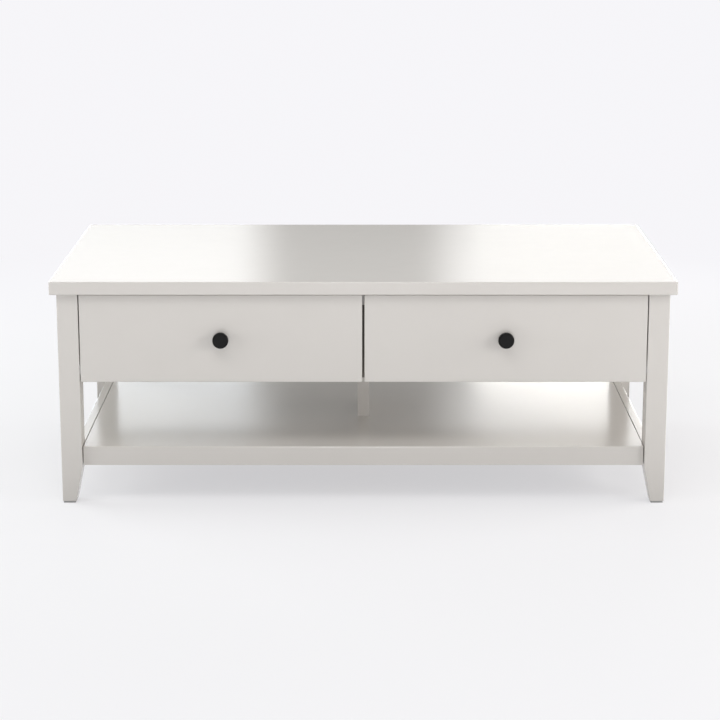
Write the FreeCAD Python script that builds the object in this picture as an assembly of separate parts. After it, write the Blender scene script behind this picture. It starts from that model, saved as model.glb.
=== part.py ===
import FreeCAD, Part
import os
from collections import namedtuple

# Coffee table with two drawers over an open shelf.
# Millimetres, +Z up, +X to the right of someone facing the drawers, who stands on the -Y side.
# The origin is on the floor, under the middle of the whole outline, knobs included.

# Overall size
table_width = 1220.0
table_depth = 660.0
table_height = 450.0

# Top
top_thickness = 26.0
top_overhang = 12.5
top_edge_radius = 2.0

# Legs and their glides
leg_width = 41.0
leg_depth = 50.0
leg_edge_radius = 1.5
taper_inset = 14.0
taper_drop = 1.5
glide_thickness = 4.0
glide_inset = 1.5

# Case round the drawers
case_height = 176.5
panel_thickness = 16.0
panel_edge_radius = 1.0
rail_height = 26.0
rail_thickness = 18.0
top_cleat_width = 18.0
top_cleat_height = 18.0
top_cleat_end_gap = 20.0

# Shelf and what carries it
shelf_height = 113.5
shelf_edge_height = 38.0
shelf_panel_thickness = 18.0
shelf_recess = 10.0
shelf_side_gap = 1.5
shelf_strip_depth = 30.0
shelf_edge_radius = 2.0
batten_width = 60.0
shelf_cleat_width = 20.0
shelf_cleat_end_gap = 15.0
post_width = 24.0
post_depth = 140.0

# Drawer fronts and the gaps round them
front_thickness = 18.0
front_top_gap = 2.5
front_leg_gap = 2.0
front_centre_gap = 4.5
front_rear_gap = 2.0
front_edge_radius = 1.5

# Drawer boxes
box_side_thickness = 12.0
box_top_space = 18.0
box_rear_space = 36.0
box_lift = 12.0
bottom_thickness = 6.0
bottom_lift = 10.0
groove_depth = 6.0
groove_clearance = 0.2

# Telescopic slides: a channel on the case, a middle member and a runner on the drawer
slide_space = 13.0
slide_rear_space = 19.5
slide_setback = 0.5
slide_height = 45.0
slide_gauge = 1.2
slide_lip = 4.0
slide_clearance = 0.35
channel_depth = 11.5
middle_setback = 3.3
middle_end_gap = 3.0

# Knobs
knob_radius = 15.6
knob_projection = 22.0
knob_base_radius = 8.5
knob_base_height = 1.5
knob_neck_radius = 6.5
knob_neck_height = 6.0
knob_rim_start = 12.5
knob_rim_height = 5.5
knob_face_radius = 12.8

# Dowels and screws
dowel_radius = 4.0
dowel_length = 30.0
screw_radius = 1.9
screw_head_radius = 4.0
screw_head_height = 1.6
slide_screw_length = 8.0
front_screw_length = 25.0
knob_screw_radius = 2.0
knob_screw_grip = 9.0
hole_clearance = 0.1
hole_end_gap = 0.5

# Shares of a length where pins and screws sit, the share of the gauge that rounds a slide's bends,
# and the cosine that counts as parallel
panel_dowel_shares = (0.22, 0.78)
post_dowel_shares = (0.25, 0.75)
slide_screw_shares = (0.08, 0.92)
front_screw_width_shares = (0.15, 0.85)
front_screw_height_shares = (0.3, 0.75)
slide_bend_share = 0.4
parallel_share = 0.999

# Places worked out from the sizes
knob_overshoot = knob_projection - top_overhang
middle_y = knob_overshoot / 2
top_front_y = middle_y - table_depth / 2
top_back_y = middle_y + table_depth / 2
top_under_z = table_height - top_thickness
case_bottom_z = top_under_z - case_height
leg_outer_x = table_width / 2 - top_overhang
leg_inner_x = leg_outer_x - leg_width
leg_front_y = top_front_y + top_overhang
leg_back_y = top_back_y - top_overhang
side_front_y = leg_front_y + leg_depth
side_back_y = leg_back_y - leg_depth
panel_reveal = leg_width - panel_thickness
back_panel_y = leg_back_y - panel_reveal - panel_thickness
front_back_y = leg_front_y + front_thickness
rail_front_y = front_back_y + front_rear_gap
rail_back_y = rail_front_y + rail_thickness
rail_bottom_z = top_under_z - rail_height
shelf_half_width = leg_inner_x - shelf_side_gap
shelf_front_y = leg_front_y + shelf_recess
shelf_back_y = leg_back_y - shelf_recess
shelf_bottom_z = shelf_height - shelf_edge_height
taper_height = shelf_bottom_z - taper_drop
shelf_panel_z = shelf_height - shelf_panel_thickness
box_bottom_z = case_bottom_z + box_lift
box_top_z = rail_bottom_z - box_top_space
box_back_y = back_panel_y - box_rear_space
box_outer_near_x = panel_thickness / 2 + slide_space
box_outer_far_x = leg_inner_x - slide_space
bottom_z = box_bottom_z + bottom_lift
bottom_top_z = bottom_z + bottom_thickness
front_near_x = front_centre_gap / 2
front_far_x = leg_inner_x - front_leg_gap
front_top_z = top_under_z - front_top_gap
front_middle_x = (front_near_x + front_far_x) / 2
front_middle_z = (case_bottom_z + front_top_z) / 2
slide_z = (box_bottom_z + box_top_z) / 2
slide_front_y = rail_back_y + slide_setback
slide_length = box_back_y - slide_rear_space - slide_front_y
slide_bend_radius = slide_gauge * slide_bend_share

along_x = FreeCAD.Vector(1, 0, 0)
along_y = FreeCAD.Vector(0, 1, 0)
along_z = FreeCAD.Vector(0, 0, 1)

Pin = namedtuple("Pin", "base direction radius length")
Screw = namedtuple("Screw", "seat direction radius length")

nodes = {}


def place(x, y, z):
    return FreeCAD.Vector(x, y, z)


def block(x, y, z):
    """A box from three (low, high) pairs, which may be given either way round."""
    low = place(min(x), min(y), min(z))
    return Part.makeBox(abs(x[1] - x[0]), abs(y[1] - y[0]), abs(z[1] - z[0]), low)


def edges_along(shape, direction):
    return [e for e in shape.Edges if abs(e.tangentAt(e.FirstParameter).dot(direction)) > parallel_share]


def eased(shape, radius, edges):
    return shape.makeFillet(radius, edges)


def between(low, high, share):
    return low + (high - low) * share


def pin_solid(pin):
    return Part.makeCylinder(pin.radius, pin.length, pin.base, pin.direction)


def pin_hole(pin):
    base = pin.base - pin.direction * hole_end_gap
    length = pin.length + 2 * hole_end_gap
    return Part.makeCylinder(pin.radius + hole_clearance, length, base, pin.direction)


def dowel(middle, direction):
    """A dowel centred on the joint between two pieces."""
    return Pin(middle - direction * (dowel_length / 2), direction, dowel_radius, dowel_length)


def screw_solid(screw):
    shank = Part.makeCylinder(screw.radius, screw.length, screw.seat, screw.direction)
    head = Part.makeCylinder(screw_head_radius, screw_head_height, screw.seat, screw.direction * -1)
    return shank.fuse(head).removeSplitter()


def screw_hole(screw):
    pin = Pin(screw.seat, screw.direction, screw.radius, screw.length)
    return pin_hole(pin)


def drill(names, holes):
    """Cut each hole out of the named pieces that it reaches."""
    for name in names:
        reached = [h for h in holes if h.BoundBox.intersect(nodes[name].BoundBox)]
        if reached:
            nodes[name] = nodes[name].cut(reached)


def rounded_rectangle(x, y, z, radius):
    """A closed wire of four lines and four corner arcs at height z."""
    face = Part.makePlane(x[1] - x[0], y[1] - y[0], place(x[0], y[0], 0))
    prism = face.extrude(along_z * radius)
    prism = eased(prism, radius, edges_along(prism, along_z))
    floor = [f for f in prism.Faces if f.BoundBox.ZMax < radius / 2][0]
    wire = floor.OuterWire
    wire.translate(along_z * z)
    return wire


def leg(side, front):
    """A straight leg whose two inner faces taper in towards the foot."""
    def section(inset, z):
        inner = leg_inner_x + inset
        x = (inner, leg_outer_x) if side > 0 else (-leg_outer_x, -inner)
        if front:
            y = (leg_front_y, side_front_y - inset)
        else:
            y = (side_back_y + inset, leg_back_y)
        return rounded_rectangle(x, y, z, leg_edge_radius)

    foot_inset = taper_inset * (taper_height - glide_thickness) / taper_height
    wires = [section(foot_inset, glide_thickness), section(0, taper_height), section(0, top_under_z)]
    return Part.makeLoft(wires, True, True)


def glide(side, front):
    """The plastic glide under one foot, a little smaller than the foot."""
    x = (side * (leg_inner_x + taper_inset + glide_inset), side * (leg_outer_x - glide_inset))
    if front:
        y = (leg_front_y + glide_inset, side_front_y - taper_inset - glide_inset)
    else:
        y = (side_back_y + taper_inset + glide_inset, leg_back_y - glide_inset)
    pad = block(x, y, (0, glide_thickness))
    return eased(pad, leg_edge_radius, edges_along(pad, along_z))


def make_legs():
    glides = []
    for side, side_name in ((-1, "left"), (1, "right")):
        for front, end_name in ((True, "front"), (False, "rear")):
            nodes["leg_" + end_name + "_" + side_name] = leg(side, front)
            glides.append(glide(side, front))
    nodes["foot_glides"] = Part.makeCompound(glides)


def make_top():
    top = block((-table_width / 2, table_width / 2), (top_front_y, top_back_y), (top_under_z, table_height))
    nodes["top_panel"] = eased(top, top_edge_radius, top.Edges)


def make_case():
    """Side panels, back panel, front rail, partition and the cleats under the top."""
    case_z = (case_bottom_z, top_under_z)
    for side, side_name in ((-1, "left"), (1, "right")):
        x = (side * leg_inner_x, side * (leg_inner_x + panel_thickness))
        panel = block(x, (side_front_y, side_back_y), case_z)
        lower = [e for e in edges_along(panel, along_y) if e.BoundBox.ZMax < top_under_z]
        nodes["side_panel_" + side_name] = eased(panel, panel_edge_radius, lower)
        cleat_x = (side * leg_inner_x, side * (leg_inner_x - top_cleat_width))
        cleat_y = (side_front_y + top_cleat_end_gap, side_back_y - top_cleat_end_gap)
        cleat_z = (top_under_z - top_cleat_height, top_under_z)
        nodes["top_cleat_" + side_name] = block(cleat_x, cleat_y, cleat_z)
    inside = (-leg_inner_x, leg_inner_x)
    back = block(inside, (back_panel_y, back_panel_y + panel_thickness), case_z)
    lower = [e for e in edges_along(back, along_x) if e.BoundBox.ZMax < top_under_z]
    nodes["back_panel"] = eased(back, panel_edge_radius, lower)
    nodes["front_rail"] = block(inside, (rail_front_y, rail_back_y), (rail_bottom_z, top_under_z))
    half = panel_thickness / 2
    nodes["centre_partition"] = block((-half, half), (rail_back_y, back_panel_y), case_z)


def make_shelf():
    """The shelf panel, the strips that thicken its long edges, its cleats, rails and post."""
    width = (-shelf_half_width, shelf_half_width)
    panel = block(width, (shelf_front_y, shelf_back_y), (shelf_panel_z, shelf_height))
    upper = [e for e in edges_along(panel, along_x) if e.BoundBox.ZMin > shelf_panel_z]
    nodes["shelf_panel"] = eased(panel, shelf_edge_radius, upper)
    strips = (
        ("shelf_front_edge", shelf_front_y, shelf_front_y + shelf_strip_depth),
        ("shelf_rear_edge", shelf_back_y, shelf_back_y - shelf_strip_depth),
    )
    for name, outer_y, inner_y in strips:
        nodes[name] = block(width, (outer_y, inner_y), (shelf_bottom_z, shelf_panel_z))
    half = batten_width / 2
    batten_y = (shelf_front_y + shelf_strip_depth, shelf_back_y - shelf_strip_depth)
    nodes["shelf_batten"] = block((-half, half), batten_y, (shelf_bottom_z, shelf_panel_z))
    for side, side_name in ((-1, "left"), (1, "right")):
        rail_x = (side * leg_inner_x, side * (leg_inner_x + panel_thickness))
        rail = block(rail_x, (side_front_y, side_back_y), (shelf_bottom_z, shelf_height))
        nodes["side_rail_" + side_name] = eased(rail, panel_edge_radius, edges_along(rail, along_y))
        cleat_x = (side * leg_inner_x, side * (leg_inner_x - shelf_cleat_width))
        cleat_y = (side_front_y + shelf_cleat_end_gap, side_back_y - shelf_cleat_end_gap)
        cleat_z = (shelf_bottom_z + panel_edge_radius, shelf_panel_z)
        nodes["shelf_cleat_" + side_name] = block(cleat_x, cleat_y, cleat_z)
    half = post_width / 2
    post_y = (middle_y - post_depth / 2, middle_y + post_depth / 2)
    post = block((-half, half), post_y, (shelf_height, case_bottom_z))
    nodes["centre_post"] = eased(post, panel_edge_radius, edges_along(post, along_z))


def make_dowels():
    """The dowels that hold the frame together, and their holes."""
    pins = []
    panel_x = leg_inner_x + panel_thickness / 2
    rail_z = shelf_bottom_z + shelf_edge_height / 2
    back_y = back_panel_y + panel_thickness / 2
    heights = [between(case_bottom_z, top_under_z, share) for share in panel_dowel_shares]
    for side in (-1, 1):
        for joint_y in (side_front_y, side_back_y):
            for z in heights:
                pins.append(dowel(place(side * panel_x, joint_y, z), along_y))
            pins.append(dowel(place(side * panel_x, joint_y, rail_z), along_y))
        for z in heights:
            pins.append(dowel(place(side * leg_inner_x, back_y, z), along_x))
        front_y = (rail_front_y + rail_back_y) / 2
        pins.append(dowel(place(side * leg_inner_x, front_y, top_under_z - rail_height / 2), along_x))
    for share in post_dowel_shares:
        y = between(middle_y - post_depth / 2, middle_y + post_depth / 2, share)
        pins.append(dowel(place(0, y, shelf_height), along_z))
        pins.append(dowel(place(0, y, case_bottom_z), along_z))
    nodes["dowels"] = Part.makeCompound([pin_solid(pin) for pin in pins])
    wooden = [name for name in nodes if name not in ("dowels", "foot_glides", "top_panel")]
    drill(wooden, [pin_hole(pin) for pin in pins])


def profile_bar(points, wall_x, direction, y, length):
    """A bar of bent strip; points are (distance from the wall, height above the slide's middle)."""
    corners = [place(wall_x + direction * reach, y, slide_z + rise) for reach, rise in points]
    face = Part.Face(Part.makePolygon(corners + corners[:1]))
    bar = face.extrude(along_y * length)
    return eased(bar, slide_bend_radius, edges_along(bar, along_y))


def lipped_channel(near, far, half_height):
    """The outline of a channel open away from the wall, with lips turned in at its mouth."""
    inner = half_height - slide_gauge
    mouth = inner - slide_lip
    upper = [
        (far, mouth),
        (far, half_height),
        (near, half_height),
    ]
    lower = [(reach, -rise) for reach, rise in reversed(upper)]
    inside = [
        (far - slide_gauge, -mouth),
        (far - slide_gauge, -inner),
        (near + slide_gauge, -inner),
        (near + slide_gauge, inner),
        (far - slide_gauge, inner),
        (far - slide_gauge, mouth),
    ]
    return upper + lower + inside


def runner_outline(near, brim_far, brim_half, crown_half):
    """The outline of the drawer's runner: a hat section whose brims run inside the middle member."""
    wall = crown_half - slide_gauge
    web = slide_space - slide_gauge
    upper = [
        (web, wall),
        (near, wall),
        (near, brim_half),
        (brim_far, brim_half),
        (brim_far, crown_half),
        (slide_space, crown_half),
    ]
    lower = [(reach, -rise) for reach, rise in reversed(upper)]
    return upper + lower


def slide_members(wall_x, direction):
    """One telescopic slide: three nested members, shown closed."""
    channel_half = slide_height / 2
    middle_half = channel_half - slide_gauge - slide_clearance
    middle_far = channel_depth - slide_gauge - slide_clearance
    brim_near = middle_setback + slide_gauge + slide_clearance
    brim_far = middle_far - slide_gauge - slide_clearance
    brim_half = middle_half - slide_gauge - slide_clearance
    crown_half = middle_half - slide_gauge - slide_lip - slide_clearance
    channel = profile_bar(
        lipped_channel(0, channel_depth, channel_half), wall_x, direction, slide_front_y, slide_length
    )
    middle_y0 = slide_front_y + middle_end_gap
    middle_length = slide_length - 2 * middle_end_gap
    middle = profile_bar(
        lipped_channel(middle_setback, middle_far, middle_half), wall_x, direction, middle_y0, middle_length
    )
    runner = profile_bar(
        runner_outline(brim_near, brim_far, brim_half, crown_half),
        wall_x, direction, slide_front_y, slide_length,
    )
    return {"channel": channel, "middle": middle, "runner": runner}


def make_slides(drawer, side):
    """Both slides of one drawer, with the screws that fix them to the case and to the drawer."""
    near_wall = side * panel_thickness / 2
    far_wall = side * leg_inner_x
    walls = ((near_wall, side), (far_wall, -side))
    case_screws, drawer_screws, channels, runners = [], [], [], []
    for wall_x, direction in walls:
        hand = "right" if direction < 0 else "left"
        for member, shape in slide_members(wall_x, direction).items():
            nodes[drawer + "_" + hand + "_slide_" + member] = shape
        channels.append(drawer + "_" + hand + "_slide_channel")
        runners.append(drawer + "_" + hand + "_slide_runner")
        inward = along_x * direction
        for share in slide_screw_shares:
            y = slide_front_y + slide_length * share
            case_seat = place(wall_x + direction * slide_gauge, y, slide_z)
            case_screws.append(Screw(case_seat, inward * -1, screw_radius, slide_screw_length))
            drawer_seat = place(wall_x + direction * (slide_space - slide_gauge), y, slide_z)
            drawer_screws.append(Screw(drawer_seat, inward, screw_radius, slide_screw_length))
    nodes[drawer + "_slide_screws"] = Part.makeCompound([screw_solid(s) for s in drawer_screws])
    drill(runners + drawer_sides(drawer), [screw_hole(s) for s in drawer_screws])
    case_walls = ["side_panel_left", "side_panel_right", "centre_partition"]
    drill(channels + case_walls, [screw_hole(s) for s in case_screws])
    return case_screws


def drawer_sides(drawer):
    return [drawer + "_left_side", drawer + "_right_side"]


def knob(x):
    """A turned knob: foot, waisted neck and a flat-faced head with a rounded rim."""
    def point(radius, reach):
        return place(x + radius, leg_front_y - reach, front_middle_z)

    rim_end = knob_rim_start + knob_rim_height
    neck_middle = (knob_base_height + knob_neck_height) / 2
    rim_blend_share = 0.3
    throat = point(
        between(knob_neck_radius, knob_radius, rim_blend_share),
        between(knob_neck_height, knob_rim_start, 1 - rim_blend_share),
    )
    shoulder = point(
        between(knob_face_radius, knob_radius, 1 - rim_blend_share),
        between(rim_end, knob_projection, 1 - rim_blend_share),
    )
    waist = point(between(knob_neck_radius, knob_base_radius, rim_blend_share), neck_middle)
    edges = [
        Part.makeLine(point(0, 0), point(knob_base_radius, 0)),
        Part.makeLine(point(knob_base_radius, 0), point(knob_base_radius, knob_base_height)),
        Part.Arc(point(knob_base_radius, knob_base_height), waist,
                 point(knob_neck_radius, knob_neck_height)).toShape(),
        Part.Arc(point(knob_neck_radius, knob_neck_height), throat,
                 point(knob_radius, knob_rim_start)).toShape(),
        Part.makeLine(point(knob_radius, knob_rim_start), point(knob_radius, rim_end)),
        Part.Arc(point(knob_radius, rim_end), shoulder,
                 point(knob_face_radius, knob_projection)).toShape(),
        Part.makeLine(point(knob_face_radius, knob_projection), point(0, knob_projection)),
        Part.makeLine(point(0, knob_projection), point(0, 0)),
    ]
    face = Part.Face(Part.Wire(edges))
    return face.revolve(point(0, 0), along_y, 360)


def make_drawer(drawer, side):
    """One drawer: applied front, box, bottom, knob and the screws between them."""
    front = block(
        (side * front_near_x, side * front_far_x), (leg_front_y, front_back_y), (case_bottom_z, front_top_z)
    )
    nodes[drawer + "_front"] = eased(front, front_edge_radius, front.Edges)
    box_z = (box_bottom_z, box_top_z)
    near_x = (side * box_outer_near_x, side * (box_outer_near_x + box_side_thickness))
    far_x = (side * (box_outer_far_x - box_side_thickness), side * box_outer_far_x)
    inner_front_y = front_back_y + box_side_thickness
    bottom_x = (near_x[1] - side * (groove_depth - groove_clearance),
                far_x[0] + side * (groove_depth - groove_clearance))
    bottom_y = (inner_front_y - groove_depth + groove_clearance, box_back_y)
    groove_x = (near_x[1] - side * groove_depth, far_x[0] + side * groove_depth)
    groove = block(groove_x, (inner_front_y - groove_depth, box_back_y + groove_clearance),
                   (bottom_z - groove_clearance, bottom_top_z))
    left_x, right_x = (near_x, far_x) if side > 0 else (far_x, near_x)
    nodes[drawer + "_left_side"] = block(left_x, (front_back_y, box_back_y), box_z).cut(groove)
    nodes[drawer + "_right_side"] = block(right_x, (front_back_y, box_back_y), box_z).cut(groove)
    across = (near_x[1], far_x[0])
    nodes[drawer + "_box_front"] = block(across, (front_back_y, inner_front_y), box_z).cut(groove)
    inner_back_y = box_back_y - box_side_thickness
    nodes[drawer + "_box_back"] = block(across, (inner_back_y, box_back_y), (bottom_top_z, box_top_z))
    nodes[drawer + "_bottom"] = block(bottom_x, bottom_y, (bottom_z, bottom_top_z))

    knob_x = side * front_middle_x
    knob_screw_length = box_side_thickness + front_thickness + knob_screw_grip
    knob_seat = place(knob_x, inner_front_y, front_middle_z)
    knob_screw = Screw(knob_seat, along_y * -1, knob_screw_radius, knob_screw_length)
    nodes[drawer + "_knob"] = knob(knob_x)
    nodes[drawer + "_knob_screw"] = screw_solid(knob_screw)
    front_screws = []
    for across_share in front_screw_width_shares:
        for up_share in front_screw_height_shares:
            seat = place(between(across[0], across[1], across_share), inner_front_y,
                         between(bottom_top_z, box_top_z, up_share))
            front_screws.append(Screw(seat, along_y * -1, screw_radius, front_screw_length))
    nodes[drawer + "_front_screws"] = Part.makeCompound([screw_solid(s) for s in front_screws])
    holes = [screw_hole(s) for s in front_screws + [knob_screw]]
    drill([drawer + "_front", drawer + "_box_front", drawer + "_knob"], holes)


make_top()
make_legs()
make_case()
make_shelf()
make_dowels()
case_slide_screws = []
for drawer_name, drawer_side in (("left_drawer", -1), ("right_drawer", 1)):
    make_drawer(drawer_name, drawer_side)
    case_slide_screws += make_slides(drawer_name, drawer_side)
nodes["case_slide_screws"] = Part.makeCompound([screw_solid(s) for s in case_slide_screws])

os.makedirs("parts", exist_ok=True)
for node_name, node_shape in nodes.items():
    node_shape.exportStep("parts/" + node_name + ".step")
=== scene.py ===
import math

import bpy
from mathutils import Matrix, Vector


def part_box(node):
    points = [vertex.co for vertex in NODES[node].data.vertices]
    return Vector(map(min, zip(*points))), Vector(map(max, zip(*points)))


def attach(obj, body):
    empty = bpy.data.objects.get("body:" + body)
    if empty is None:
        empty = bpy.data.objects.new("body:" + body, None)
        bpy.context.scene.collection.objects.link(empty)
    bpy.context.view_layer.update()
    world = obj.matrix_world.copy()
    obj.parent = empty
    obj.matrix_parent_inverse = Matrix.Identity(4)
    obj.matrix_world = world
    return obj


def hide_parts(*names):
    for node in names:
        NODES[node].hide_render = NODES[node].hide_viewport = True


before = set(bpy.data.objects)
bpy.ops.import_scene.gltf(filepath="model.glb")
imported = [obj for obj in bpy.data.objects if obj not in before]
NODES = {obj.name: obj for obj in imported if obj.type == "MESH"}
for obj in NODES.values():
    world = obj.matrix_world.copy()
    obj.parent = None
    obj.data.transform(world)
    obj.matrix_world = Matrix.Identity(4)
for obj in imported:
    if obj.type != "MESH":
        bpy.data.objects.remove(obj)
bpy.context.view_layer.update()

# White coffee table with two drawers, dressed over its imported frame.
# Metres, +Z up, the drawers face -Y. Only the screws are given in millimetres.

MM = 0.001
BLACK = (0.0, 0.0, 0.0)
WHITE = (1.0, 1.0, 1.0)
NOISE_MEAN = 0.5

# Node names by the finish they carry
PAINTED = (
    "top_panel", "leg_front_left", "leg_front_right", "leg_rear_left", "leg_rear_right",
    "side_panel_left", "side_panel_right", "back_panel", "front_rail", "centre_post",
    "side_rail_left", "side_rail_right", "shelf_panel", "shelf_front_edge", "shelf_rear_edge",
    "left_drawer_front", "right_drawer_front",
)
TIMBER = (
    "shelf_batten", "shelf_cleat_left", "shelf_cleat_right", "top_cleat_left", "top_cleat_right",
)
DRAWERS = ("left_drawer", "right_drawer")
SLIDE_MEMBERS = ("channel", "middle", "runner")

# Each side with the sign of X that leads inward from it
SIDES = (("left", 1.0), ("right", -1.0))

# Boards of a drawer box: the axis of the grain, then the axis across the layers
BOX_BOARDS = (
    ("left_side", "Y", "X"), ("right_side", "Y", "X"),
    ("box_front", "X", "Y"), ("box_back", "X", "Y"),
)

# Woods, pale and dark
BIRCH = (0.76, 0.60, 0.41), (0.62, 0.44, 0.265)
PINE = (0.78, 0.60, 0.38), (0.60, 0.40, 0.21)
BEECH = (0.66, 0.47, 0.30), (0.55, 0.36, 0.21)

# Grain: features in a metre along it and across it, then how they show
FIBRES = (6.0, 260.0)
RINGS = (1.6, 34.0)
RING_SWAY = 5.0
RING_RATE = 2.6
RING_EDGE = (-0.7, 1.0)
RING_SHARE = 0.45
PORE_EDGE = (0.60, 0.78)
PORE_STRENGTH = 0.35
PORE_SHADE = 0.55
PORE_DEPTH = 0.6

# Plywood: nine layers in a 12 mm board, seen on edges that face up or down
PLY_LAYER = 12.0 * MM / 9.0
PLY_EDGE = (0.35, 0.65)
PLY_SHADE = 0.72
PLY_FIBRE = 0.4
UPRIGHT_NORMAL = 0.7

# Screws, in millimetres
HEAD_RADIUS = 4.0
HEAD_HEIGHT = 1.6
SHANK_RADIUS = 1.9
SLIDE_SCREW = 8.0
FRONT_SCREW = 25.0
KNOB_SCREW = 39.0
TIP_COVER = 2.0
CHANNEL_SEAT = 1.2
RUNNER_SEAT = 11.8
CLEAT_STAGGER = 24.0
SPIN_SEED = 7

# Pan head: shares of its height or its radius
SKIRT_HEIGHT = 0.35
SKIRT_TOP = 0.97
CROWN_TOP = 0.66
RECESS_LENGTH = 1.05
RECESS_WIDTH = 0.2
RECESS_BLADE = 1.1
HEAD_VERTICES = 28
SHANK_VERTICES = 14
SHARP_BEND = 0.5

# Where screws sit, as shares of the length of their piece
SLIDE_SHARES = (0.08, 0.92)
FRONT_ACROSS = (0.15, 0.85)
FRONT_UP = (0.3, 0.75)
CLEAT_SHARES = (
    ("shelf_cleat_", (0.06, 0.35, 0.65, 0.94)),
    ("top_cleat_", (0.08, 0.5, 0.92)),
)
BATTEN_SHARES = (0.08, 0.36, 0.64, 0.92)
BACKWARD = (0, 1, 0)
DOWNWARD = (0, 0, -1)

SCREW_SOCKETS = (
    ("Points", "NodeSocketGeometry"), ("Head Radius", "NodeSocketFloat"),
    ("Head Height", "NodeSocketFloat"), ("Shank Radius", "NodeSocketFloat"),
    ("Spin Seed", "NodeSocketInt"), ("Finish", "NodeSocketMaterial"),
)

# Floor and background
BACKGROUND = (0.925, 0.918, 0.945)
WORLD_FILL = (0.08, 0.08, 0.08)
FLOOR_HALF = 40.0
FLOOR_TONE = (0.86, 0.86, 0.86)
FLOOR_GLOW = 0.58
FLOOR_FADE = (1.0, 2.6)
# Painted shade: the tone the floor gives back to the table is darker under the table than around it
BOUNCE_UNDER_PAINTED_SHADE = (0.24, 0.245, 0.25)
BOUNCE_OPEN = (0.78, 0.79, 0.81)
PAINTED_SHADE_ELLIPSE = (0.95, 0.55)
PAINTED_SHADE_FADE = (0.75, 1.5)

# Lamps: name, place, aim, width and height, radiance, colour, and if the gloss shows it
TABLE = (0.0, 0.0, 0.3)
LAMPS = (
    ("right_key", (3.1, -2.4, 1.35), TABLE, (1.4, 1.4), 6.1, WHITE, True),
    ("front_high_softbox", (-0.9, -2.4, 3.6), TABLE, (5.0, 1.6), 2.7, WHITE, True),
    ("overhead_softbox", (0.0, 0.0, 4.2), TABLE, (3.0, 3.0), 1.0, WHITE, True),
    ("left_front_panel", (-3.3, -1.5, 0.9), TABLE, (1.6, 1.7), 3.5, WHITE, False),
    ("right_side_panel", (3.4, 0.0, 1.3), TABLE, (3.0, 2.4), 3.7, (1.0, 0.97, 0.94), False),
    ("right_front_softbox", (1.75, -4.4, 1.75), (1.0, 0.0, 0.5), (2.4, 3.0), 0.35, WHITE, True),
    ("left_back_panel", (-3.3, 1.2, 1.3), (-0.3, 0.0, 0.2), (2.4, 2.4), 4.6, (0.95, 1.0, 1.0), False),
    ("low_front_softbox", (0.0, -4.35, 0.45), (0.0, 0.0, 0.2), (0.6, 0.7), 15.5, WHITE, True),
    ("left_back_low", (-0.95, 3.0, 0.32), (-0.95, 0.0, 0.32), (1.1, 0.55), 7.4, (0.80, 0.90, 1.0), True),
    ("right_back_low", (0.95, 3.0, 0.32), (0.95, 0.0, 0.32), (1.1, 0.55), 18.5, (1.0, 0.99, 0.95), True),
)

# Upright softbox behind the table: extent, radiance from left to right, and its rise with height
BACK_HALF_WIDTH = 1.6
BACK_DISTANCE = 3.0
BACK_HEIGHTS = (0.6, 2.2)
BACK_LEFT, BACK_MIDDLE, BACK_RIGHT = 1.07, 0.33, 0.99
BACK_LEFT_FADE = (-0.24, -0.46)
BACK_RIGHT_FADE = (0.175, 0.395)
BACK_FOOT = 0.8
BACK_RISES = ((0.55, 0.74, 0.92), (0.25, 0.92, 1.08))

# Camera fitted to the photograph: lens and shift in its pixels, dip in degrees below level
PHOTO_PIXELS = 720.0
FOCAL_PIXELS = 2156.5
SHIFT_PIXELS = -3.3
SENSOR_WIDTH = 36.0
CAMERA_PLACE = (0.0, -4.42245, 1.263)
CAMERA_DIP = 13.2927
CLIP_RANGE = (0.1, 200.0)


class Wire:
    """One output of a node. Sums and products of wires add Math nodes to their recipe."""

    def __init__(self, recipe, socket):
        self.recipe = recipe
        self.socket = socket

    def math(self, operation, first, second):
        return self.recipe.node("ShaderNodeMath", {"operation": operation}, {0: first, 1: second})

    def __add__(self, other):
        return self.math("ADD", self, other)

    def __radd__(self, other):
        return self.math("ADD", other, self)

    def __sub__(self, other):
        return self.math("SUBTRACT", self, other)

    def __rsub__(self, other):
        return self.math("SUBTRACT", other, self)

    def __mul__(self, other):
        return self.math("MULTIPLY", self, other)

    def __rmul__(self, other):
        return self.math("MULTIPLY", other, self)

    def __truediv__(self, other):
        return self.math("DIVIDE", self, other)

    def __gt__(self, other):
        return self.math("GREATER_THAN", self, other)

    def __abs__(self):
        return self.math("ABSOLUTE", self, 0.0)


class Recipe:
    """A node tree being written: every node in it comes from node()."""

    def __init__(self, tree):
        self.tree = tree

    def node(self, kind, settings=None, inputs=None, output=0):
        """Add a node with its settings and the values or wires of its sockets; gives one output."""
        made = self.tree.nodes.new(kind)
        for key, value in (settings or {}).items():
            setattr(made, key, value)
        for key, value in (inputs or {}).items():
            for wire in value if isinstance(value, list) else [value]:
                if isinstance(wire, Wire):
                    self.tree.links.new(wire.socket, made.inputs[key])
                else:
                    made.inputs[key].default_value = wire
        return Wire(self, made.outputs[output]) if made.outputs else None


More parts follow.
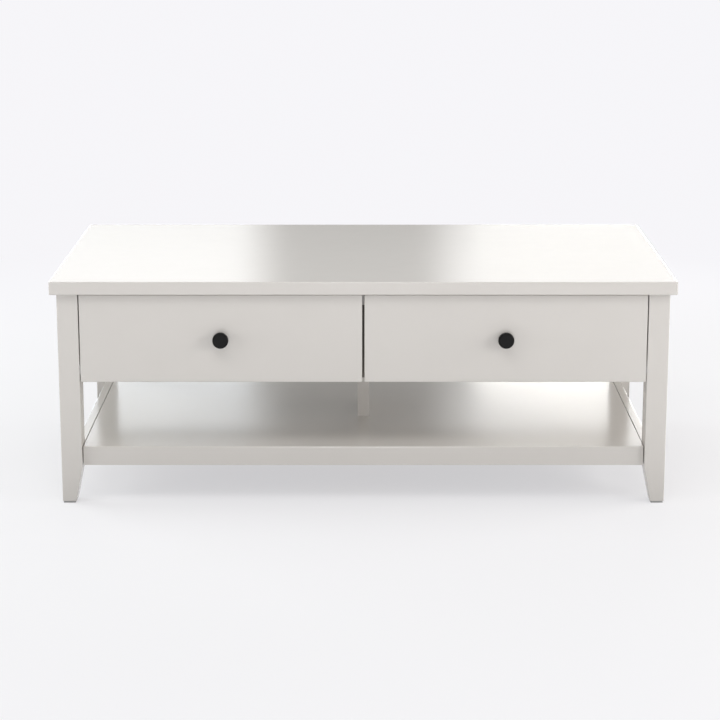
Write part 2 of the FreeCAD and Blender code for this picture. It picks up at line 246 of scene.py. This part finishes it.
class Finish(Recipe):
    """A procedural material on Object coordinates."""

    def __init__(self, name, origin=(0, 0, 0)):
        self.material = bpy.data.materials.new(name)
        self.material.use_nodes = True
        super().__init__(self.material.node_tree)
        self.tree.nodes.clear()
        where = self.node("ShaderNodeTexCoord", output="Object")
        self.place = self.node("ShaderNodeVectorMath", {"operation": "SUBTRACT"}, {0: where, 1: origin})

    def stretched(self, scales):
        scales = tuple(scales)
        return self.node("ShaderNodeVectorMath", {"operation": "MULTIPLY"}, {0: self.place, 1: scales})

    def length(self, vector):
        return self.node("ShaderNodeVectorMath", {"operation": "LENGTH"}, {0: vector}, output="Value")

    def axis(self, vector, name):
        return self.node("ShaderNodeSeparateXYZ", None, {0: vector}, output=name)

    def noise(self, per_metre=1.0, detail=2.0, roughness=0.5, place=None):
        """Noise round its mean, with so many features in a metre or in a unit of the given place."""
        return self.node("ShaderNodeTexNoise", {"noise_dimensions": "3D"}, {
            "Vector": place or self.place, "Scale": per_metre,
            "Detail": detail, "Roughness": roughness})

    def blend(self, share, first, second):
        return self.node(
            "ShaderNodeMix", {"data_type": "RGBA"},
            {0: share, 6: colour4(first), 7: colour4(second)}, output=2,
        )

    def smooth_step(self, value, low, high):
        return self.node(
            "ShaderNodeMapRange", {"interpolation_type": "SMOOTHSTEP"},
            {"Value": value, "From Min": low, "From Max": high},
        )

    def bump(self, height, depth):
        return self.node("ShaderNodeBump", None, {"Height": height, "Distance": depth, "Strength": 1.0})

    def surface(self, **sockets):
        """Close the material with a Principled surface; socket names have _ for spaces."""
        named = {key.replace("_", " "): value for key, value in sockets.items()}
        return self.output(self.node("ShaderNodeBsdfPrincipled", None, named))

    def output(self, shader):
        self.node("ShaderNodeOutputMaterial", None, {"Surface": shader})
        return self.material


def colour4(colour):
    return colour if isinstance(colour, Wire) else (*colour, 1.0)


def shaded(colour, share):
    return tuple(share * channel for channel in colour)


def vary(mean, *swings):
    """A value round its mean that each noise swings by its own spread."""
    value = mean
    for noise, spread in swings:
        value = value + spread * (noise - NOISE_MEAN)
    return value


# Finishes

def white_paint():
    """Sprayed satin lacquer: faint orange peel, and a slow drift of tone and gloss."""
    finish = Finish("white_paint_finish")
    peel = finish.noise(380.0, detail=1.0)
    drift = finish.noise(5.0, detail=3.0)
    cloud = finish.noise(34.0)
    tone = finish.blend(drift, (0.655, 0.623, 0.587), (0.685, 0.653, 0.617))
    gloss = vary(0.17, (cloud, 0.04), (peel, 0.02))
    relief = finish.bump(peel * 0.3 + cloud, 0.012 * MM)
    return finish.surface(Base_Color=tone, Roughness=gloss, Normal=relief, Specular_IOR_Level=0.75)


def white_board():
    """Hardboard with a thin white face, for the drawer bottoms: dull, with a faint pressed grain."""
    finish = Finish("white_board_finish")
    grain = finish.noise(900.0)
    drift = finish.noise(9.0)
    tone = finish.blend(drift, (0.66, 0.66, 0.65), (0.71, 0.71, 0.70))
    gloss = vary(0.44, (grain, 0.1))
    return finish.surface(Base_Color=tone, Roughness=gloss, Normal=finish.bump(grain, 0.03 * MM))


def raw_board_and_slot_shade():
    """Unpainted fibreboard, set dark so that the slot between the drawer fronts shows painted shade:
    pressed fibres, a little darker in patches.
    """
    finish = Finish("raw_board_and_slot_shade_finish")
    fibre = finish.noise(700.0, detail=4.0, roughness=0.65)
    patch = finish.noise(40.0)
    # Painted shade: the board's tone is set dark so the slot between the drawer fronts looks shaded, on
    # top of its own raw board colour
    tone = finish.blend(fibre * 0.7 + patch * 0.3, (0.25, 0.225, 0.20), (0.15, 0.135, 0.12))
    gloss = vary(0.72, (fibre, 0.12))
    return finish.surface(Base_Color=tone, Roughness=gloss, Normal=finish.bump(fibre, 0.08 * MM))


def black_knob():
    """Satin black powder coat with its fine grain."""
    finish = Finish("black_knob_finish")
    grain = finish.noise(2600.0)
    patch = finish.noise(160.0)
    tone = finish.blend(patch, (0.0045, 0.0045, 0.0044), (0.0072, 0.0070, 0.0066))
    gloss = vary(0.40, (grain, 0.12), (patch, 0.06))
    relief = finish.bump(grain, 0.03 * MM)
    return finish.surface(Base_Color=tone, Roughness=gloss, Normal=relief, Specular_IOR_Level=0.16)


def slide_steel():
    """Bright zinc on cold-rolled strip, with rolling lines along its length."""
    finish = Finish("slide_steel_finish")
    lines = finish.noise(detail=3.0, place=finish.stretched((1500.0, 9.0, 1500.0)))
    patch = finish.noise(60.0, detail=3.0)
    tone = finish.blend(patch, (0.60, 0.61, 0.62), (0.70, 0.70, 0.69))
    gloss = vary(0.30, (lines, 0.16), (patch, 0.10))
    relief = finish.bump(lines, 0.015 * MM)
    return finish.surface(Base_Color=tone, Metallic=1.0, Roughness=gloss, Normal=relief)


def zinc_screw():
    """Zinc-plated screw with a little tarnish in patches."""
    finish = Finish("zinc_screw_finish")
    patch = finish.noise(700.0, detail=3.0)
    tone = finish.blend(patch, (0.52, 0.52, 0.50), (0.72, 0.72, 0.70))
    return finish.surface(Base_Color=tone, Metallic=1.0, Roughness=vary(0.34, (patch, 0.18)))


def glide_plastic():
    """Grey moulded plastic with a fine spark-eroded texture."""
    finish = Finish("glide_plastic_finish")
    grain = finish.noise(1800.0)
    tone = finish.blend(grain, (0.40, 0.40, 0.395), (0.46, 0.455, 0.45))
    gloss = vary(0.52, (grain, 0.1))
    return finish.surface(Base_Color=tone, Roughness=gloss, Normal=finish.bump(grain, 0.02 * MM))


def drawn_out(along, rates):
    """Scales for X, Y and Z: the first rate along the grain's axis, the second across it."""
    return [rates[0] if axis == along else rates[1] for axis in "XYZ"]


def plywood_tone(finish, face_tone, fibre, across, woods):
    """The face's own tone, and pale and dark layers on edges that face up or down."""
    pale, dark = woods
    normal = finish.node("ShaderNodeNewGeometry", output="Normal")
    edge = abs(finish.axis(normal, "Z")) > UPRIGHT_NORMAL
    layer = finish.axis(finish.place, across) / PLY_LAYER
    layer = finish.node("ShaderNodeMath", {"operation": "PINGPONG"}, {0: layer, 1: 1.0})
    plies = finish.blend(finish.smooth_step(layer, *PLY_EDGE), pale, shaded(dark, PLY_SHADE))
    plies = finish.blend(fibre * PLY_FIBRE, plies, dark)
    return finish.blend(edge, face_tone, plies)


def wood(name, origin, along, woods, ply_across=None):
    """Straight-grained wood. along is the grain's axis; ply_across is the axis of plywood's layers."""
    pale, dark = woods
    finish = Finish(name, origin)
    fibre = finish.noise(detail=4.0, roughness=0.6, place=finish.stretched(drawn_out(along, FIBRES)))
    wide = finish.stretched(drawn_out(along, RINGS))
    sway = finish.noise(place=wide)
    run = finish.axis(wide, "X") + finish.axis(wide, "Y") + finish.axis(wide, "Z")
    wave = (run + sway * RING_SWAY) * RING_RATE
    wave = finish.node("ShaderNodeMath", {"operation": "SINE"}, {0: wave})
    ring = finish.smooth_step(wave, *RING_EDGE)
    pores = finish.smooth_step(fibre, *PORE_EDGE)
    tone = finish.blend(ring * RING_SHARE + fibre * (1.0 - RING_SHARE), pale, dark)
    tone = finish.blend(pores * PORE_STRENGTH, tone, shaded(dark, PORE_SHADE))
    if ply_across:
        tone = plywood_tone(finish, tone, fibre, ply_across, woods)
    relief = finish.bump(fibre - pores * PORE_DEPTH, 0.06 * MM)
    return finish.surface(Base_Color=tone, Roughness=vary(0.50, (fibre, 0.12)), Normal=relief)


def dress(names, material):
    for name in names:
        for slot in NODES[name].material_slots:
            slot.material = material


def dress_hardware():
    steel = slide_steel()
    knob_coat = black_knob()
    for drawer in DRAWERS:
        dress([drawer + "_knob"], knob_coat)
        for side, _ in SIDES:
            dress([drawer + "_" + side + "_slide_" + member for member in SLIDE_MEMBERS], steel)
    dress(["foot_glides"], glide_plastic())


def dress_drawer_boxes():
    """Each board of a drawer box gets birch whose grain runs along it and starts in its own corner."""
    for drawer in DRAWERS:
        for board, along, across in BOX_BOARDS:
            node = drawer + "_" + board
            dress([node], wood(node + "_birch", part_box(node)[0], along, BIRCH, across))
    dress([drawer + "_bottom" for drawer in DRAWERS], white_board())


def dress_hidden_timber():
    for node in TIMBER:
        dress([node], wood(node + "_pine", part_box(node)[0], "Y", PINE))
    dress(["dowels"], wood("beech_dowel_finish", (0, 0, 0), "Y", BEECH))


# Screws

def screw_head(node, radius, height):
    """A pan head that stands on its seat, with a cross recess cut into its crown."""
    def cone(bottom, top, depth):
        return node("GeometryNodeMeshCone", {"fill_type": "NGON"}, {
            "Vertices": HEAD_VERTICES, "Radius Top": top, "Radius Bottom": bottom, "Depth": depth})

    skirt_height = height * SKIRT_HEIGHT
    skirt_top = radius * SKIRT_TOP
    skirt = cone(radius, skirt_top, skirt_height)
    crown = cone(skirt_top, radius * CROWN_TOP, height - skirt_height)
    lift = node("ShaderNodeCombineXYZ", None, {"Z": skirt_height})
    crown = node("GeometryNodeTransform", None, {"Geometry": crown, "Translation": lift})
    above = node("ShaderNodeCombineXYZ", None, {"Z": height})
    blades = []
    for long_axis, short_axis in (("X", "Y"), ("Y", "X")):
        size = node("ShaderNodeCombineXYZ", None, {
            long_axis: radius * RECESS_LENGTH, short_axis: radius * RECESS_WIDTH,
            "Z": height * RECESS_BLADE})
        blade = node("GeometryNodeMeshCube", None, {"Size": size})
        blades.append(node("GeometryNodeTransform", None, {"Geometry": blade, "Translation": above}))
    crown = node("GeometryNodeMeshBoolean", {"operation": "DIFFERENCE", "solver": "EXACT"}, {
        "Mesh 1": crown, "Mesh 2": blades})
    head = node("GeometryNodeJoinGeometry", None, {"Geometry": [skirt, crown]})
    bend = node("GeometryNodeInputMeshEdgeAngle", output="Unsigned Angle")
    return node("GeometryNodeSetShadeSmooth", {"domain": "EDGE"}, {
        "Geometry": head, "Selection": bend > SHARP_BEND, "Shade Smooth": False})


def screw_tree():
    """A pan-head screw on each point, facing along the point's outward direction."""
    tree = bpy.data.node_groups.new("screw_on_points", "GeometryNodeTree")
    inputs = {}
    for name, kind in SCREW_SOCKETS:
        inputs[name] = tree.interface.new_socket(name, in_out="INPUT", socket_type=kind).identifier
    tree.interface.new_socket("Screws", in_out="OUTPUT", socket_type="NodeSocketGeometry")
    recipe = Recipe(tree)
    node = recipe.node
    given = tree.nodes.new("NodeGroupInput")
    points, radius, height, shank_radius, seed, finish = [
        Wire(recipe, given.outputs[name]) for name, kind in SCREW_SOCKETS
    ]

    head = screw_head(node, radius, height)
    shank = node("GeometryNodeMeshCylinder", {"fill_type": "NGON"}, {
        "Vertices": SHANK_VERTICES, "Radius": shank_radius, "Depth": 1.0})
    shank = node("GeometryNodeTransform", None, {"Geometry": shank, "Translation": (0.0, 0.0, -0.5)})

    outward = node("GeometryNodeInputNamedAttribute", {"data_type": "FLOAT_VECTOR"}, {"Name": "outward"})
    length = node("GeometryNodeInputNamedAttribute", {"data_type": "FLOAT"}, {"Name": "length"})
    facing = node("FunctionNodeAlignRotationToVector", {"axis": "Z"}, {"Vector": outward})
    spin = node("FunctionNodeRandomValue", {"data_type": "FLOAT"}, {
        2: 0.0, 3: math.tau, "Seed": seed}, output=1)
    turn = node("FunctionNodeAxisAngleToRotation", None, {"Axis": (0.0, 0.0, 1.0), "Angle": spin})
    facing = node("FunctionNodeRotateRotation", {"rotation_space": "LOCAL"}, {
        "Rotation": facing, "Rotate By": turn})
    stretch = node("ShaderNodeCombineXYZ", None, {"X": 1.0, "Y": 1.0, "Z": length})
    heads = node("GeometryNodeInstanceOnPoints", None, {
        "Points": points, "Instance": head, "Rotation": facing})
    shanks = node("GeometryNodeInstanceOnPoints", None, {
        "Points": points, "Instance": shank, "Rotation": facing, "Scale": stretch})
    both = node("GeometryNodeJoinGeometry", None, {"Geometry": [heads, shanks]})
    real = node("GeometryNodeRealizeInstances", None, {"Geometry": both})
    coated = node("GeometryNodeSetMaterial", None, {"Geometry": real, "Material": finish})
    node("NodeGroupOutput", None, {"Screws": coated})
    return tree, inputs


def drive_screws(name, body, seats, replaced, tree, inputs, material):
    """Set screws on seats, each (place, outward direction, shank length) in mm, as one plain mesh."""
    points = bpy.data.meshes.new(name + "_points")
    points.from_pydata([Vector(place) * MM for place, outward, length in seats], [], [])
    points.attributes.new("outward", "FLOAT_VECTOR", "POINT")
    points.attributes.new("length", "FLOAT", "POINT")
    for index, (place, outward, length) in enumerate(seats):
        points.attributes["outward"].data[index].vector = outward
        points.attributes["length"].data[index].value = length * MM
    carrier = bpy.data.objects.new(name + "_points", points)
    bpy.context.scene.collection.objects.link(carrier)
    modifier = carrier.modifiers.new("screws", "NODES")
    modifier.node_group = tree
    values = {
        "Head Radius": HEAD_RADIUS * MM, "Head Height": HEAD_HEIGHT * MM,
        "Shank Radius": SHANK_RADIUS * MM, "Spin Seed": SPIN_SEED, "Finish": material,
    }
    for key, value in values.items():
        modifier[inputs[key]] = value
    bpy.context.view_layer.update()
    mesh = bpy.data.meshes.new_from_object(carrier.evaluated_get(bpy.context.evaluated_depsgraph_get()))
    mesh.name = name
    carrier.modifiers.remove(modifier)
    bpy.data.objects.remove(carrier)
    screws = bpy.data.objects.new(name, mesh)
    bpy.context.scene.collection.objects.link(screws)
    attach(screws, body)
    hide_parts(*replaced)


def node_box(name):
    """A node's low and high corners in millimetres."""
    low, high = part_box(name)
    return low / MM, high / MM


def between(low, high, share):
    return low + (high - low) * share


def slide_seats(drawer):
    """Seats in the case's channels, then those in the runners on the drawer."""
    in_case, on_drawer = [], []
    for side, inward in SIDES:
        low, high = node_box(drawer + "_" + side + "_slide_channel")
        wall = low.x if inward > 0 else high.x
        middle_z = (low.z + high.z) / 2
        for share in SLIDE_SHARES:
            y = between(low.y, high.y, share)
            channel = (wall + inward * CHANNEL_SEAT, y, middle_z)
            runner = (wall + inward * RUNNER_SEAT, y, middle_z)
            in_case.append((channel, (inward, 0, 0), SLIDE_SCREW))
            on_drawer.append((runner, (-inward, 0, 0), SLIDE_SCREW))
    return in_case, on_drawer


def front_seats(drawer):
    """Seats behind the box front: four that hold the drawer front and one for the knob."""
    low, high = node_box(drawer + "_box_front")
    floor_z = node_box(drawer + "_bottom")[1].z
    seats = []
    for across in FRONT_ACROSS:
        for up in FRONT_UP:
            place = (between(low.x, high.x, across), high.y, between(floor_z, high.z, up))
            seats.append((place, BACKWARD, FRONT_SCREW))
    knob_low, knob_high = node_box(drawer + "_knob")
    knob_middle = (knob_low + knob_high) / 2
    seats.append(((knob_middle.x, high.y, knob_middle.z), BACKWARD, KNOB_SCREW))
    return seats


def under_seat(low, high, y):
    """A seat in the underside of a timber, half-way across it."""
    return ((low.x + high.x) / 2, y, low.z), DOWNWARD, high.z - low.z - TIP_COVER


def timber_seats():
    """Seats under the cleats and in their inner faces, a little apart, then under the batten."""
    seats = []
    for side, inward in SIDES:
        for cleat, shares in CLEAT_SHARES:
            low, high = node_box(cleat + side)
            face = high.x if inward > 0 else low.x
            for share in shares:
                y = between(low.y, high.y, share)
                seats.append(under_seat(low, high, y))
                beside = (face, y + CLEAT_STAGGER * (0.5 - share), (low.z + high.z) / 2)
                seats.append((beside, (inward, 0, 0), high.x - low.x - TIP_COVER))
    low, high = node_box("shelf_batten")
    seats += [under_seat(low, high, between(low.y, high.y, share)) for share in BATTEN_SHARES]
    return seats


def make_screws():
    tree, inputs = screw_tree()
    zinc = zinc_screw()
    case_seats = []
    for drawer in DRAWERS:
        in_case, seats = slide_seats(drawer)
        case_seats += in_case
        seats += front_seats(drawer)
        replaced = [drawer + "_slide_screws", drawer + "_front_screws", drawer + "_knob_screw"]
        drive_screws(drawer + "_screw_set", drawer, seats, replaced, tree, inputs, zinc)
    case_seats += timber_seats()
    drive_screws("frame_screw_set", "frame", case_seats, ["case_slide_screws"], tree, inputs, zinc)


# Stage: floor, light and camera

def quad(name, corners, material):
    """One flat face in the scene."""
    mesh = bpy.data.meshes.new(name)
    mesh.from_pydata(corners, [], [(0, 1, 2, 3)])
    mesh.materials.append(material)
    face = bpy.data.objects.new(name, mesh)
    bpy.context.scene.collection.objects.link(face)
    return face


def pale_floor():
    """Matt pale floor that keeps the table's shadow near it and runs out into the background's tone.

    The tone that it gives back to the table is painted darker under the table than around it, as painted
    shade.
    """
    finish = Finish("pale_floor_finish")
    ray = finish.node("ShaderNodeLightPath", output="Is Camera Ray")
    glossy = finish.node("ShaderNodeLightPath", output="Is Glossy Ray")
    seen = finish.node("ShaderNodeMath", {"operation": "MAXIMUM"}, {0: ray, 1: glossy})
    far = finish.smooth_step(finish.length(finish.place), *FLOOR_FADE)
    half_x, half_y = PAINTED_SHADE_ELLIPSE
    painted_shade_reach = finish.length(finish.stretched((1.0 / half_x, 1.0 / half_y, 0.0)))
    # Painted shade: the bounced tone is darker inside the ellipse under the table
    bounce_tone_with_painted_shade = finish.blend(finish.smooth_step(painted_shade_reach, *PAINTED_SHADE_FADE), BOUNCE_UNDER_PAINTED_SHADE, BOUNCE_OPEN)
    lit_tone = finish.blend(seen, bounce_tone_with_painted_shade, FLOOR_TONE)
    lit = finish.node("ShaderNodeBsdfDiffuse", None, {"Color": lit_tone})
    glow = finish.node("ShaderNodeEmission", None, {"Color": colour4(BACKGROUND), "Strength": 1.0})
    share = seen * (FLOOR_GLOW + (1.0 - FLOOR_GLOW) * far)
    finish.material.cycles.emission_sampling = "NONE"
    return finish.output(finish.node("ShaderNodeMixShader", None, {0: share, 1: lit, 2: glow}))


def make_floor():
    half = FLOOR_HALF
    corners = [(-half, -half, 0), (half, -half, 0), (half, half, 0), (-half, half, 0)]
    floor = quad("floor", corners, pale_floor())


def make_world():
    """The background's tone for the camera, and a dim fill for everything else."""
    world = bpy.data.worlds.new("studio")
    bpy.context.scene.world = world
    world.use_nodes = True
    recipe = Recipe(world.node_tree)
    world.node_tree.nodes.clear()
    seen = recipe.node("ShaderNodeLightPath", output="Is Camera Ray")
    fill, pale = [
        recipe.node("ShaderNodeBackground", None, {"Color": colour4(tone), "Strength": 1.0})
        for tone in (WORLD_FILL, BACKGROUND)
    ]
    mixed = recipe.node("ShaderNodeMixShader", None, {0: seen, 1: fill, 2: pale})
    recipe.node("ShaderNodeOutputWorld", None, {"Surface": mixed})


def soft_panel(name, place, aim, size, radiance, colour, mirrored):
    """A rectangular softbox that faces the aim point; mirrored says if the gloss shows it."""
    lamp = bpy.data.lights.new(name, "AREA")
    lamp.shape = "RECTANGLE"
    lamp.size, lamp.size_y = size
    lamp.energy = radiance * math.pi * size[0] * size[1]
    lamp.color = colour
    panel = bpy.data.objects.new(name, lamp)
    panel.location = place
    panel.rotation_euler = (Vector(aim) - Vector(place)).to_track_quat("-Z", "Y").to_euler()
    panel.visible_camera = False
    panel.visible_glossy = mirrored
    bpy.context.scene.collection.objects.link(panel)


def back_softbox():
    """An upright softbox behind the table for the gloss to reflect: bright at both ends, dim between."""
    finish = Finish("back_softbox_glow")
    across = finish.axis(finish.place, "X")
    height = finish.axis(finish.place, "Z")
    left_share = finish.smooth_step(across, *BACK_LEFT_FADE)
    right_share = finish.smooth_step(across, *BACK_RIGHT_FADE)
    level = BACK_MIDDLE + (BACK_LEFT - BACK_MIDDLE) * left_share
    level = level + (BACK_RIGHT - BACK_MIDDLE) * right_share
    rise = BACK_FOOT
    for gain, low, high in BACK_RISES:
        rise = rise + gain * finish.smooth_step(height, low, high)
    full_rise = BACK_FOOT + sum(gain for gain, low, high in BACK_RISES)
    peak = full_rise * max(BACK_LEFT, BACK_MIDDLE, BACK_RIGHT)
    tone = finish.blend(level * rise * (1.0 / peak), BLACK, WHITE)
    light = finish.node("ShaderNodeEmission", None, {"Color": tone, "Strength": peak})
    half, y = BACK_HALF_WIDTH, BACK_DISTANCE
    low_z, high_z = BACK_HEIGHTS
    corners = [(-half, y, low_z), (half, y, low_z), (half, y, high_z), (-half, y, high_z)]
    panel = quad("back_softbox", corners, finish.output(light))
    panel.visible_camera = False


def make_light():
    """A key on the right, softboxes in front and above, side panels, and lights behind to reflect."""
    for lamp in LAMPS:
        soft_panel(*lamp)
    back_softbox()


def make_camera():
    """The photograph's view: from straight in front, looking a little down."""
    lens = bpy.data.cameras.new("camera")
    lens.sensor_width = SENSOR_WIDTH
    lens.lens = FOCAL_PIXELS / PHOTO_PIXELS * SENSOR_WIDTH
    lens.shift_x = SHIFT_PIXELS / PHOTO_PIXELS
    lens.clip_start, lens.clip_end = CLIP_RANGE
    camera = bpy.data.objects.new("camera", lens)
    camera.location = CAMERA_PLACE
    camera.rotation_euler = (math.radians(90.0 - CAMERA_DIP), 0.0, 0.0)
    bpy.context.scene.collection.objects.link(camera)
    bpy.context.scene.camera = camera


dress(PAINTED, white_paint())
# The partition's dark tone is partly its own raw board colour and partly painted shade for the slot
# between the drawer fronts
dress(["centre_partition"], raw_board_and_slot_shade())
dress_hardware()
dress_drawer_boxes()
dress_hidden_timber()
make_screws()
make_floor()
make_world()
make_light()
make_camera()
bpy.context.scene.view_settings.view_transform = "Standard"
